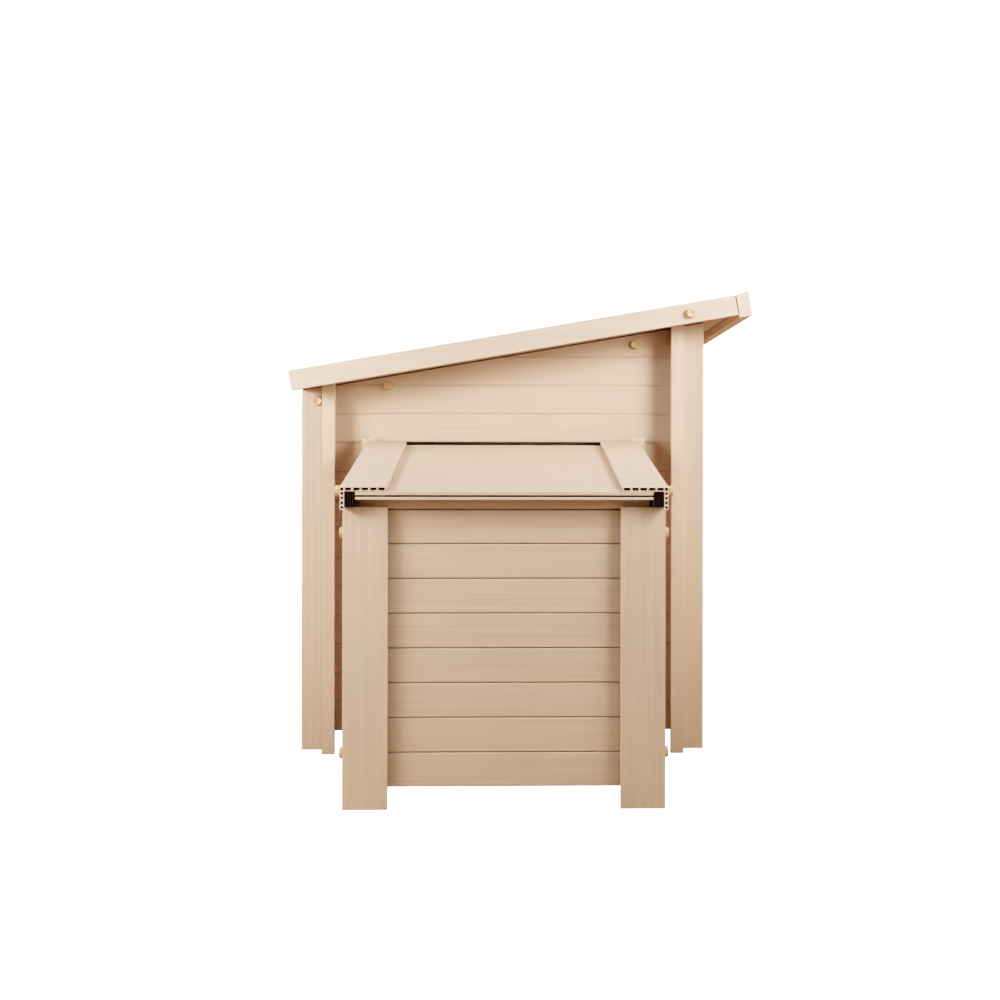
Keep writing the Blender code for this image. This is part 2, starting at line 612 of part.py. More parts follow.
def roof_hinge():
    """A long hinge under the low edge: one leaf on the low wall, one under the roof sheets, one pin."""
    start = HOUSE_NEAR + POST_SIDE_LEG + 0.004
    end = FAR_SHIFT - start
    step = (end - start) / ROOF_KNUCKLES
    centre = (ROOF_HINGE_X, ROOF_HINGE_Z)
    fixed_outline, fixed_bore = leaf_profile(centre, ROOF_WALL_LEAF, (0, -1), (1, 0), HINGE_BORE)
    along = (math.cos(ROOF_ANGLE), math.sin(ROOF_ANGLE))
    up = (-math.sin(ROOF_ANGLE), math.cos(ROOF_ANGLE))
    moving_outline, moving_bore = leaf_profile(centre, ROOF_SHEET_LEAF, along, up, HINGE_BORE)
    fixed = sweep("roof_hinge_fixed_leaf", fixed_outline, "Y", start, end, STEEL, holes=fixed_bore)
    moving = sweep("roof_hinge_moving_leaf", moving_outline, "Y", start, end, STEEL, holes=moving_bore)
    x, z, reach = ROOF_HINGE_X, ROOF_HINGE_Z, KNUCKLE + 0.001
    for index in range(ROOF_KNUCKLES):
        near, far = start + index * step - KNUCKLE_ROOM, start + (index + 1) * step + KNUCKLE_ROOM
        if index == 0:
            near -= REACH
        if index == ROOF_KNUCKLES - 1:
            far += REACH
        # each leaf is cleared of the other's knuckles; the moving one slants, so its cut is taller
        target, top = (fixed, z + reach) if index % 2 else (moving, z + reach + 0.0006)
        cut(target, box(f"cutter_knuckle_{index}", (x - reach, near, z - reach), (x + reach, far, top),
                        guide=True))
    sweep("roof_hinge_pin", circle(x, z, HINGE_PIN, 10), "Y", start - PIN_STICKS_OUT, end + PIN_STICKS_OUT,
          STEEL)


# ---- nest box -----------------------------------------------------------------------------------
PLANK_END_ROOM = 0.001        # between the front planks' ends and the legs


def nest_legs_and_planks():
    """Angle legs on the front corners, and the front planks between and behind them."""
    for side in (-1, 1):
        profile = place_profile(angle_profile(NEST_HALF_WIDTH - NEST_LEG_INNER, ANGLE_SHORT),
                                (side * NEST_HALF_WIDTH, 0.0), (-side, 0), (0, 1))
        sweep(f"nest_leg_{side_name(side)}", profile[0], "Z", 0.0, NEST_LEG_TOP, holes=profile[1])
    half = NEST_HALF_WIDTH - ANGLE_WALL - PLANK_END_ROOM
    face, back = NEST_PLANK_FACE, NEST_PLANK_FACE + PLANK_THICKNESS
    for index in range(NEST_PLANKS):
        low = NEST_BASE + index * PLANK_PITCH
        high = low + PLANK_PITCH - GAP
        outline = [(back, low), (face + GROOVE, low), (face, low + GROOVE), (face, high - GROOVE),
                   (face + GROOVE, high), (back, high)]
        sweep(f"nest_front_plank_{index + 1}", outline, "X", -half, half)


EAR_OUTER, EAR_ROOM = 0.3343, 0.3348      # the lid's ears, and the notches in the posts they turn in
EAR_LOW = 0.740
NOTCH_ROOM = 0.002            # below the ears
UNDER_LID = 0.003             # the sides stop this far below the lid rails' undersides
REAR_POST_ROUND = 0.010


def nest_sides():
    """Planked sides whose tops follow the lid, and the posts at the wall that the lid hangs on."""
    front, back = NEST_PLANK_FACE + PLANK_THICKNESS + GAP * 2, REAR_POST_FRONT - GAP * 2
    high = lid_top(back)
    for side in (-1, 1):
        wall = planks(f"nest_side_{side_name(side)}", "Y", side * NEST_SIDE_OUTER, side, NEST_BASE, high,
                      front, back)
        first, last = front - REACH, back + REACH
        beyond = [(y, lid_top(y) - ANGLE_WALL - UNDER_LID) for y in (first, last)]
        left, right = sorted((side * (NEST_SIDE_OUTER - REACH), side * (NEST_SIDE_OUTER + REACH)))
        cut(wall, sweep(f"cutter_lid_{side_name(side)}", [*beyond, (last, ABOVE_ALL), (first, ABOVE_ALL)],
                        "X", left, right, guide=True))
        near, far = REAR_POST_FRONT, PLANK_FACE - GAP
        a, b, radius = far - REAR_POST_ROUND, REAR_POST_TOP - REAR_POST_ROUND, REAR_POST_ROUND
        turns = [math.pi / 2 * step / 4 for step in range(5)]
        rear_arc = [(a + radius * math.cos(turn), b + radius * math.sin(turn)) for turn in turns]
        front_arc = [(near + far - a, b) for a, b in reversed(rear_arc)]
        outline = [(near, 0.0), (far, 0.0), *rear_arc, *front_arc]
        left, right = sorted((side * REAR_POST_INNER, side * REAR_POST_OUTER))
        bore = circle(LID_AXIS_Y, LID_AXIS_Z, PEG_RADIUS + GAP, 16)
        post = sweep(f"nest_rear_post_{side_name(side)}", outline, "X", left, right, holes=[bore])
        left, right = sorted((side * (REAR_POST_INNER - 0.001), side * EAR_ROOM))
        cut(post, box(f"cutter_ear_{side_name(side)}", (left, near - REACH, EAR_LOW - NOTCH_ROOM),
                      (right, far + REACH, REAR_POST_TOP + REACH), guide=True))


NEST_FLOOR, NEST_FLOOR_THICK = 0.062, 0.012
DIVIDER_TOP, DIVIDER_BACK = 0.450, 0.370
DIVIDER_HALF = 0.006


def nest_floor_and_divider():
    """One floor for two nests, and the low wall between them."""
    front = NEST_PLANK_FACE + PLANK_THICKNESS + GAP * 2
    half = NEST_SIDE_OUTER - PLANK_THICKNESS - GAP
    top = NEST_FLOOR + NEST_FLOOR_THICK
    box("nest_floor", (-half, front, NEST_FLOOR), (half, PLANK_FACE - GAP, top))
    box("nest_divider", (-DIVIDER_HALF, front, top + GAP), (DIVIDER_HALF, DIVIDER_BACK, DIVIDER_TOP))


PANEL_SKIN, PANEL_SLIT = 0.0075, 0.0030     # above the slit in the lid sheet's front edge, and the slit
CELL_DEPTH, CELL_DROP, CELL_LIP = 0.022, 0.0035, 0.0015       # the hollow cell that it opens into
CROSS_HIGH, CROSS_FRONT, CROSS_BACK = 0.0298, 0.0118, 0.037
BAR_HALF = 0.0094
BAR_END_ROOM = 0.0008
PEG_INNER = 0.286
PEG_END_ROOM = 0.0005


def nest_lid():
    """The sloped lid: a sheet between two hollow angle rails, a cross rail under its front, and a
    pivot bar behind it that turns on two pegs in the rear posts."""
    base = LID_FRONT_TOP - LID_SLOPE * LID_FRONT        # the rails' top carried to Y = 0
    for side in (-1, 1):
        profile = place_profile(angle_profile(LID_HALF_WIDTH - LID_RAIL_INNER, ANGLE_SHORT),
                                (side * LID_HALF_WIDTH, base), (-side, 0), (0, -1))
        sweep(f"lid_rail_{side_name(side)}", profile[0], "Y", LID_FRONT, LID_BACK, holes=profile[1],
              slope=LID_SLOPE)
    top = base - ANGLE_WALL - GAP
    bottom, inside, lip = top - LID_PANEL_THICKNESS, LID_FRONT + CELL_DEPTH, LID_FRONT + CELL_LIP
    slit_top = top - PANEL_SKIN
    slit_low = slit_top - PANEL_SLIT
    outline = [(LID_FRONT, bottom), (LID_BACK, bottom), (LID_BACK, top), (LID_FRONT, top),
               (LID_FRONT, slit_top), (inside, slit_top), (inside, slit_low - CELL_DROP),
               (lip, slit_low - CELL_DROP), (lip, slit_low), (LID_FRONT, slit_low)]
    sweep("lid_panel", outline, "X", -LID_PANEL_HALF, LID_PANEL_HALF, slope=LID_SLOPE)
    under = bottom - GAP
    sweep("lid_cross_rail", rectangle(CROSS_FRONT, under - CROSS_HIGH, CROSS_BACK, under), "X",
          -LID_CROSS_HALF, LID_CROSS_HALF, slope=LID_SLOPE)
    y, z = LID_AXIS_Y, LID_AXIS_Z
    half = REAR_POST_INNER - BAR_END_ROOM
    sweep("lid_pivot_bar", rectangle(y - BAR_HALF, z - BAR_HALF, y + BAR_HALF, z + BAR_HALF), "X",
          -half, half, holes=[circle(y, z, PEG_RADIUS + GAP, 16)])
    # each peg carries an ear behind its rail, rounded on top so that it clears the wall as it turns
    near, top = REAR_POST_FRONT, REAR_POST_TOP
    ear = [(near, z), (y - 0.0095, z - 0.0095), (y, EAR_LOW), (y + 0.005, EAR_LOW), (y + 0.006, z),
           (y, top - 0.010), (y - 0.006, top - 0.002), (y - 0.009, top), (near + 0.002, top),
           (near, top - 0.002)]
    for side in (-1, 1):
        low, high = sorted((side * PEG_INNER, side * (REAR_POST_OUTER - PEG_END_ROOM)))
        peg = sweep(f"lid_pivot_peg_{side_name(side)}", circle(y, z, PEG_RADIUS, 16), "X", low, high)
        low, high = sorted((side * (REAR_POST_INNER + GAP), side * EAR_OUTER))
        unite(peg, sweep(f"guide_ear_{side_name(side)}", ear, "X", low, high, guide=True))


corner_posts_and_stiles()
end_walls()
long_walls()
top_rails()
tray()
roosts()
hen_door()
latch()
vent_grille()
roof()
roof_hinge()
nest_legs_and_planks()
nest_sides()
nest_floor_and_divider()
nest_lid()
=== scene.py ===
"""Looks for the chicken coop: materials, bolts, screws, the window mesh, studio and camera.
"""
import json
import math

import bmesh
import bpy
from mathutils import Matrix, Vector

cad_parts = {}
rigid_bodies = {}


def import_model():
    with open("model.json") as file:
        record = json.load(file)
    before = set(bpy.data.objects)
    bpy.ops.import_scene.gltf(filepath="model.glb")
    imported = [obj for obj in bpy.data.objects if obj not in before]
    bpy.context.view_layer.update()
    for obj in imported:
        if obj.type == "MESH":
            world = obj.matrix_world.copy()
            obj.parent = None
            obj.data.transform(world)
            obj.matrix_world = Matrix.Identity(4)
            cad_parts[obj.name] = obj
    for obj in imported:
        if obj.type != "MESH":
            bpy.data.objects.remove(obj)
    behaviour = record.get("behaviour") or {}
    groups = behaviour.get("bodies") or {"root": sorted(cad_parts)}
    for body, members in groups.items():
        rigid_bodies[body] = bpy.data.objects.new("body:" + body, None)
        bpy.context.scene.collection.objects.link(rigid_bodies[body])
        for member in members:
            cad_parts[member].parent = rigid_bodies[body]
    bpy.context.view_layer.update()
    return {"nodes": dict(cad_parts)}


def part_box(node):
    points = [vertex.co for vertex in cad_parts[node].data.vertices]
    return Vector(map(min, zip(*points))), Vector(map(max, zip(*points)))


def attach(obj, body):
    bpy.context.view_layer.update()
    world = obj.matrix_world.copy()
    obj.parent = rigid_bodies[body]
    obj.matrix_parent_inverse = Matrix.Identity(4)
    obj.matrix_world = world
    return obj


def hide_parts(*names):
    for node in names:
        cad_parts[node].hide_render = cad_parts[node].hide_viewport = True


for leftover in list(bpy.data.objects):
    bpy.data.objects.remove(leftover)

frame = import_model()
NODES = frame["nodes"]


# ---- node helpers -------------------------------------------------------------------------------
def new_material(name):
    """An empty node material, its Principled shader and a function that adds nodes."""
    made = bpy.data.materials.new(name)
    made.use_nodes = True
    tree = made.node_tree
    shader = tree.nodes["Principled BSDF"]

    def add(kind, **settings):
        node = tree.nodes.new(kind)
        for key, setting in settings.items():
            setattr(node, key, setting)
        return node
    return made, tree, shader, add


def noise(tree, add, scale, frequency, detail=3.0, roughness=0.55):
    """Noise over the object's own coordinates, stretched per axis."""
    place = add("ShaderNodeTexCoord")
    mapping = add("ShaderNodeMapping")
    mapping.inputs["Scale"].default_value = scale
    texture = add("ShaderNodeTexNoise")
    texture.inputs["Scale"].default_value = frequency
    texture.inputs["Detail"].default_value = detail
    texture.inputs["Roughness"].default_value = roughness
    tree.links.new(place.outputs["Object"], mapping.inputs["Vector"])
    tree.links.new(mapping.outputs["Vector"], texture.inputs["Vector"])
    return texture.outputs["Fac"]


def remap(tree, add, source, low, high, to_low, to_high):
    """Clamp a value into a range and stretch it to another."""
    node = add("ShaderNodeMapRange")
    node.inputs["From Min"].default_value = low
    node.inputs["From Max"].default_value = high
    node.inputs["To Min"].default_value = to_low
    node.inputs["To Max"].default_value = to_high
    tree.links.new(source, node.inputs["Value"])
    return node.outputs["Result"]


def multiply(tree, add, first, second):
    """Product of two values."""
    node = add("ShaderNodeMath", operation="MULTIPLY")
    tree.links.new(first, node.inputs[0])
    tree.links.new(second, node.inputs[1])
    return node.outputs[0]


def add_values(tree, add, first, second, share):
    """first + share * second."""
    node = add("ShaderNodeMath", operation="MULTIPLY_ADD")
    tree.links.new(second, node.inputs[0])
    node.inputs[1].default_value = share
    tree.links.new(first, node.inputs[2])
    return node.outputs[0]


def mix_colours(tree, add, factor, first, second):
    """A colour between two."""
    node = add("ShaderNodeMix", data_type="RGBA")
    node.inputs["A"].default_value = (*first, 1.0)
    node.inputs["B"].default_value = (*second, 1.0)
    tree.links.new(factor, node.inputs["Factor"])
    return node.outputs["Result"]


# ---- materials ----------------------------------------------------------------------------------
BEIGE_DARK = (0.548, 0.422, 0.322)
BEIGE_LIGHT = (0.652, 0.502, 0.386)
FINE_LINES = 260.0            # lines per metre across an extrusion
BROAD_BANDS = 70.0            # broader streaks per metre
PAINTED_SHADE_REACH = 0.007               # cells and seams narrower than this get painted shade
STRETCH = 0.012               # how much slower the grain changes along the extrusion


def along(axis, across=1.0):
    """Mapping scale that draws noise out along one axis."""
    return tuple(STRETCH if name == axis else across for name in "XYZ")


def paint_crevice_shade(tree, add, colour):
    """Darken a colour with painted shade where the surface is shut in: inside hollow cells and narrow
    seams.
    """
    shut = add("ShaderNodeAmbientOcclusion", samples=6)
    shut.inputs["Distance"].default_value = PAINTED_SHADE_REACH
    factor = remap(tree, add, shut.outputs["AO"], 0.10, 0.58, 0.0, 1.0)
    node = add("ShaderNodeMix", data_type="RGBA")
    # near-black brown of the painted shade
    node.inputs["A"].default_value = (0.034, 0.016, 0.006, 1.0)
    tree.links.new(colour, node.inputs["B"])
    tree.links.new(factor, node.inputs["Factor"])
    return node.outputs["Result"]


def composite(name, axis, grain=1.0, dark=BEIGE_DARK, light=BEIGE_LIGHT, roughness=0.58):
    """Wood-plastic composite with comb lines along the extrusion, broad streaks and fine specks, and
    painted shade in its cells and seams.
    """
    made, tree, shader, add = new_material(name)
    fine = noise(tree, add, along(axis), FINE_LINES, 2.0, 0.5)
    broad = noise(tree, add, along(axis), BROAD_BANDS, 3.0, 0.6)
    cloud = noise(tree, add, (1, 1, 1), 4.0, 2.0, 0.5)
    speck = noise(tree, add, (1, 1, 1), 1400.0, 2.0, 0.6)
    tone = add_values(tree, add, cloud, fine, 2.0 * grain)
    tone = add_values(tree, add, tone, broad, 1.2 * grain)
    tone = add_values(tree, add, tone, speck, 0.20)
    middle = 0.5 * (1 + 3.2 * grain + 0.20)
    factor = remap(tree, add, tone, middle - 0.75, middle + 0.75, 0.0, 1.0)
    # the grain colour is darkened with painted shade inside hollow cells and narrow seams
    colour = paint_crevice_shade(tree, add, mix_colours(tree, add, factor, dark, light))
    tree.links.new(colour, shader.inputs["Base Color"])
    rough = remap(tree, add, fine, 0.3, 0.7, roughness - 0.06, roughness + 0.08)
    tree.links.new(rough, shader.inputs["Roughness"])
    shader.inputs["Specular IOR Level"].default_value = 0.38
    bump = add("ShaderNodeBump")
    bump.inputs["Strength"].default_value = 0.30 * grain
    bump.inputs["Distance"].default_value = 0.0004
    height = add_values(tree, add, fine, speck, 0.35)
    tree.links.new(height, bump.inputs["Height"])
    tree.links.new(bump.outputs["Normal"], shader.inputs["Normal"])
    return made


def cap_plastic():
    """Smooth plastic of the bolt caps, a little yellower than the planks."""
    made, tree, shader, add = new_material("cap_plastic")
    cloud = noise(tree, add, (1, 1, 1), 240.0, 3.0)
    factor = remap(tree, add, cloud, 0.3, 0.7, 0.0, 1.0)
    colour = mix_colours(tree, add, factor, (0.54, 0.380, 0.212), (0.63, 0.450, 0.272))
    tree.links.new(colour, shader.inputs["Base Color"])
    tree.links.new(remap(tree, add, cloud, 0.3, 0.7, 0.38, 0.50), shader.inputs["Roughness"])
    bump = add("ShaderNodeBump")
    bump.inputs["Strength"].default_value = 0.12
    bump.inputs["Distance"].default_value = 0.0003
    tree.links.new(cloud, bump.inputs["Height"])
    tree.links.new(bump.outputs["Normal"], shader.inputs["Normal"])
    return made


def shade_fill_finish():
    """Near-black brown fill, a little cloudy: painted shade for hollows and a slit that are dark only in
    shadow.
    """
    made, tree, shader, add = new_material("painted_shade_fill")
    cloud = noise(tree, add, (1, 1, 1), 300.0, 3.0)
    factor = remap(tree, add, cloud, 0.3, 0.7, 0.0, 1.0)
    # near-black browns painted as shade
    colour = mix_colours(tree, add, factor, (0.022, 0.012, 0.008), (0.060, 0.034, 0.022))
    tree.links.new(colour, shader.inputs["Base Color"])
    tree.links.new(remap(tree, add, cloud, 0.3, 0.7, 0.60, 0.80), shader.inputs["Roughness"])
    return made


def zinc():
    """Zinc-plated steel with faint rolling marks."""
    made, tree, shader, add = new_material("zinc_steel")
    marks = noise(tree, add, (1, 0.05, 1), 300.0, 3.0)
    cloud = noise(tree, add, (1, 1, 1), 60.0, 4.0)
    tone = multiply(tree, add, marks, cloud)
    factor = remap(tree, add, tone, 0.12, 0.40, 0.0, 1.0)
    colour = mix_colours(tree, add, factor, (0.42, 0.42, 0.41), (0.66, 0.66, 0.64))
    tree.links.new(colour, shader.inputs["Base Color"])
    shader.inputs["Metallic"].default_value = 1.0
    tree.links.new(remap(tree, add, cloud, 0.3, 0.7, 0.28, 0.46), shader.inputs["Roughness"])
    return made


def galvanised():
    """Hot-dipped sheet: flat spangles of slightly different grey and gloss."""
    made, tree, shader, add = new_material("galvanised_sheet")
    place = add("ShaderNodeTexCoord")
    cells = add("ShaderNodeTexVoronoi")
    cells.inputs["Scale"].default_value = 90.0
    tree.links.new(place.outputs["Object"], cells.inputs["Vector"])
    split = add("ShaderNodeSeparateColor")
    tree.links.new(cells.outputs["Color"], split.inputs["Color"])
    colour = mix_colours(tree, add, split.outputs["Red"], (0.45, 0.46, 0.46), (0.62, 0.63, 0.62))
    tree.links.new(colour, shader.inputs["Base Color"])
    shader.inputs["Metallic"].default_value = 0.9
    roughness = remap(tree, add, split.outputs["Green"], 0.0, 1.0, 0.38, 0.58)
    tree.links.new(roughness, shader.inputs["Roughness"])
    return made


COMPOSITE = {axis: composite(f"composite_along_{axis.lower()}", axis) for axis in "XYZ"}
SHEET = composite("smooth_sheet", "X", grain=0.35, roughness=0.50)
LID_SHEET = composite("lid_sheet", "Y", grain=0.35, roughness=0.50)
CAP = cap_plastic()
# near-black fill that stands as painted shade
SHADE_FILL = shade_fill_finish()
ZINC = zinc()
GALVANISED = galvanised()

# The extrusion direction of each CAD piece, by the start of its name.
GRAIN = {
    "corner_post": "Z", "end_stile": "Z", "nest_leg": "Z", "nest_rear_post": "Z",
    "end_wall": "X", "long_wall": "Y", "nest_front_plank": "X", "nest_side": "Y", "nest_floor": "X",
    "nest_divider": "Y", "top_rail_near": "X", "top_rail_far": "X", "top_rail": "Y", "tray_front": "X",
    "tray_runner": "Y", "roost_bar": "X", "roost_ledger": "Y", "hen_door": "Z", "door_latch": "Y",
    "roof_rail": "X", "roof_fascia": "Y", "lid_rail": "Y", "lid_cross_rail": "X", "lid_pivot": "X",
}
OTHER = {
    "roof_sheet": SHEET, "lid_panel": LID_SHEET, "tray_pan": GALVANISED,
    "door_hinge": ZINC, "roof_hinge": ZINC, "window_grille": ZINC,
}


def finish_for(name):
    """The material of a CAD node."""
    for start, made in OTHER.items():
        if name.startswith(start):
            return made
    for start, axis in GRAIN.items():
        if name.startswith(start):
            return COMPOSITE[axis]
    raise ValueError(f"no finish for {name}")


EDGE = 0.0009                 # radius of an extrusion's edges
SHEET_EDGE = 0.0004           # and of a thin metal part's


def dress_cad():
    """Give each CAD node its material and slightly rounded edges."""
    for name, node in NODES.items():
        made = finish_for(name)
        node.data.materials.clear()
        node.data.materials.append(made)
        for polygon in node.data.polygons:
            polygon.material_index = 0
        weld = node.modifiers.new("weld", "WELD")
        weld.merge_threshold = 0.00002
        bevel = node.modifiers.new("edge", "BEVEL")
        bevel.width = SHEET_EDGE if made in (ZINC, GALVANISED) else EDGE
        bevel.segments = 2
        bevel.limit_method = "ANGLE"
        bevel.angle_limit = math.radians(40)
        bevel.use_clamp_overlap = True
        bevel.harden_normals = False


# ---- new pieces ---------------------------------------------------------------------------------
def add_piece(name, bm, made, body, smooth=40):
    """Link a bmesh, give it its material and let it ride on a body."""
    bmesh.ops.recalc_face_normals(bm, faces=bm.faces)
    mesh = bpy.data.meshes.new(name)
    bm.to_mesh(mesh)
    bm.free()
    mesh.materials.append(made)
    mesh.shade_smooth()
    mesh.set_sharp_from_angle(angle=math.radians(smooth))
    piece = bpy.data.objects.new(name, mesh)
    bpy.context.scene.collection.objects.link(piece)
    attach(piece, body)
    return piece


def lathe(bm, profile, centre, axis, sides=32):
    """Turn a profile of (radius, height) points about an axis through centre; ends on the axis."""
    turn = Vector((0, 0, 1)).rotation_difference(Vector(axis)).to_matrix()
    centre = Vector(centre)
    rings = []
    for radius, height in profile:
        if radius < 1e-6:
            rings.append([bm.verts.new(centre + turn @ Vector((0, 0, height)))])
            continue
        ring = []
        for index in range(sides):
            angle = 2 * math.pi * index / sides
            place = Vector((radius * math.cos(angle), radius * math.sin(angle), height))
            ring.append(bm.verts.new(centre + turn @ place))
        rings.append(ring)
    for lower, upper in zip(rings, rings[1:]):
        for index in range(sides):
            after = (index + 1) % sides
            corners = [lower[index % len(lower)], lower[after % len(lower)],
                       upper[after % len(upper)], upper[index % len(upper)]]
            distinct = list(dict.fromkeys(corners))
            if len(distinct) > 2:
                bm.faces.new(distinct)


CAP_RADIUS = 0.0112
WALL_CAP_RADIUS = 0.0120
CAP_HEIGHT = 0.0085


def cap_profile(radius=CAP_RADIUS, height=CAP_HEIGHT):
    """A bolt cap: straight side, rounded rim and a shallow dish in its face."""
    rim = 0.0016
    points = [(0.0, -0.0005), (radius, -0.0005), (radius, height - rim)]
    points += [(radius - rim + rim * math.cos(a), height - rim + rim * math.sin(a))
               for a in (math.pi / 8 * step for step in range(1, 5))]
    points += [(radius * 0.62, height), (radius * 0.52, height - 0.0006), (0.0, height - 0.0006)]
    return points


def bolt_cap(name, centre, axis, body="house", height=CAP_HEIGHT,
             radius=CAP_RADIUS):
    """One round bolt cap standing on a face."""
    bm = bmesh.new()
    lathe(bm, cap_profile(radius, height), centre, axis)
    return add_piece(name, bm, CAP, body)


def screw(name, centre, axis, body, radius=0.0036):
    """A pan-head screw with a cross recess."""
    bm = bmesh.new()
    height = radius * 0.55
    points = [(0.0, -0.0002), (radius, -0.0002), (radius, height * 0.35)]
    points += [(radius * math.cos(a), height * (0.35 + 0.65 * math.sin(a)))
               for a in (math.pi / 10, math.pi / 5, math.pi / 3)]
    points += [(0.0, height)]
    lathe(bm, points, centre, axis, 20)
    return add_piece(name, bm, ZINC, body)


def high(node):
    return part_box(node)[1]


def low(node):
    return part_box(node)[0]


# where the caps stand: distance across from the nest's middle, then height
WALL_CAPS = (("low", -0.2900, 0.9114), ("high", 0.3318, 1.0174), ("post", 0.4156, 1.0239))
POST_CAP = (-0.4634, 0.8714)
ROOF_CAP = (0.4477, 1.0751)
NEST_CAP_HEIGHTS = (("lower", 0.1120), ("upper", 0.5692))
NEST_CAP_BACK = 0.020         # from the leg's face to the cap's centre
LID_CAP_BACK, LID_CAP_Z = 0.0125, 0.6565


def bolts():
    """Bolt caps where the frame's pieces are bolted together."""
    near_face = low("corner_post_near_low").y
    far_face = high("corner_post_far_low").y
    wall_near, wall_far = low("end_wall_near").y, high("end_wall_far").y
    middle = (low("nest_leg_low").x + high("nest_leg_high").x) / 2
    # sloped top rails: two caps through each end wall, and a third beside the high stile
    for end, face, way in (("near", wall_near, -1), ("far", wall_far, 1)):
        for label, x, z in WALL_CAPS:
            bolt_cap(f"cap_end_wall_{end}_{label}", (middle + x, face, z), (0, way, 0),
                     radius=WALL_CAP_RADIUS)
    # level top rails: one cap through each post's narrow leg on the low side
    for end, face, way in (("near", near_face, -1), ("far", far_face, 1)):
        bolt_cap(f"cap_post_{end}_low", (middle + POST_CAP[0], face, POST_CAP[1]), (0, way, 0),
                 radius=WALL_CAP_RADIUS)
        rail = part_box(f"roof_rail_{end}")
        y = rail[0].y if end == "near" else rail[1].y
        bolt_cap(f"cap_roof_rail_{end}", (middle + ROOF_CAP[0], y, ROOF_CAP[1]), (0, way, 0),
                 "roof")
    # nest: two caps on each leg's side, one on each lid rail's front end
    for side, way in (("low", -1), ("high", 1)):
        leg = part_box(f"nest_leg_{side}")
        x = leg[0].x if way < 0 else leg[1].x
        for level, z in NEST_CAP_HEIGHTS:
            bolt_cap(f"cap_nest_{side}_{level}", (x, leg[0].y + NEST_CAP_BACK, z), (way, 0, 0))
        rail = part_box(f"lid_rail_{side}")
        x = rail[0].x if way < 0 else rail[1].x
        bolt_cap(f"cap_lid_{side}", (x, rail[0].y + LID_CAP_BACK, LID_CAP_Z), (way, 0, 0),
                 "nest_lid", height=0.0105)
    # long walls: caps through the posts' wide legs
    for end in ("near", "far"):
        for side, way in (("low", -1), ("high", 1)):
            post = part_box(f"corner_post_{end}_{side}")
            x = post[0].x if way < 0 else post[1].x
            y = (post[0].y + post[1].y) / 2
            top = 0.869 if side == "low" else 1.030
            for level, z in (("lower", 0.080), ("middle", 0.470), ("upper", top)):
                bolt_cap(f"cap_side_{end}_{side}_{level}", (x, y, z), (way, 0, 0))


def hinge_screws():
    """Screws in the hinge leaves and a pivot screw in the latch."""
    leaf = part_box("door_hinge_moving_leaf")
    for index in range(4):
        y = leaf[0].y + (leaf[1].y - leaf[0].y) * (index + 0.5) / 4
        x = leaf[1].x - 0.0045 * 2 + 0.002
        screw(f"screw_door_leaf_{index + 1}", (x, y, leaf[1].z - 0.012), (1, 0, 0), "hen_door")
    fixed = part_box("door_hinge_fixed_leaf")
    for index in range(2):
        y = fixed[0].y + (fixed[1].y - fixed[0].y) * (index + 0.5) / 2
        screw(f"screw_door_foot_{index + 1}", (fixed[0].x + 0.002, y, fixed[0].z + 0.011), (1, 0, 0),
              "house")
    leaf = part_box("roof_hinge_fixed_leaf")
    count = 8
    for index in range(count):
        y = leaf[0].y + (leaf[1].y - leaf[0].y) * (index + 0.5) / count
        screw(f"screw_roof_leaf_{index + 1}", (leaf[1].x - 0.002, y, leaf[0].z + 0.012), (-1, 0, 0),
              "house")
    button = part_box("door_latch")
    centre_y = button[0].y + 0.011
    centre_z = (button[0].z + button[1].z) / 2
    screw("screw_latch", (button[1].x, centre_y, centre_z), (1, 0, 0), "door_latch", radius=0.0048)


def door_knob():
    """A turned knob near the top of the hen door."""
    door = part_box("hen_door")
    centre = (door[1].x, (door[0].y + door[1].y) / 2, door[1].z - 0.075)
    points = [(0.0, -0.0005), (0.0085, -0.0005), (0.0085, 0.0015),
              (0.0055, 0.004), (0.0052, 0.009), (0.0105, 0.013)]
    points += [(0.0125 * math.cos(a), 0.0165 + 0.0070 * math.sin(a))
               for a in (-0.2, 0.15, 0.5, 0.85, 1.2)]
    points += [(0.0, 0.0236)]
    bm = bmesh.new()
    lathe(bm, points, centre, (1, 0, 0))
    add_piece("door_knob", bm, CAP, "hen_door", 60)


def tube(bm, start, end, radius, sides=8):
    """A round wire between two points, closed at both ends."""
    start, end = Vector(start), Vector(end)
    length = (end - start).length
    profile = [(0.0, 0.0), (radius, 0.0), (radius, length), (0.0, length)]
    lathe(bm, profile, start, (end - start).normalized(), sides)


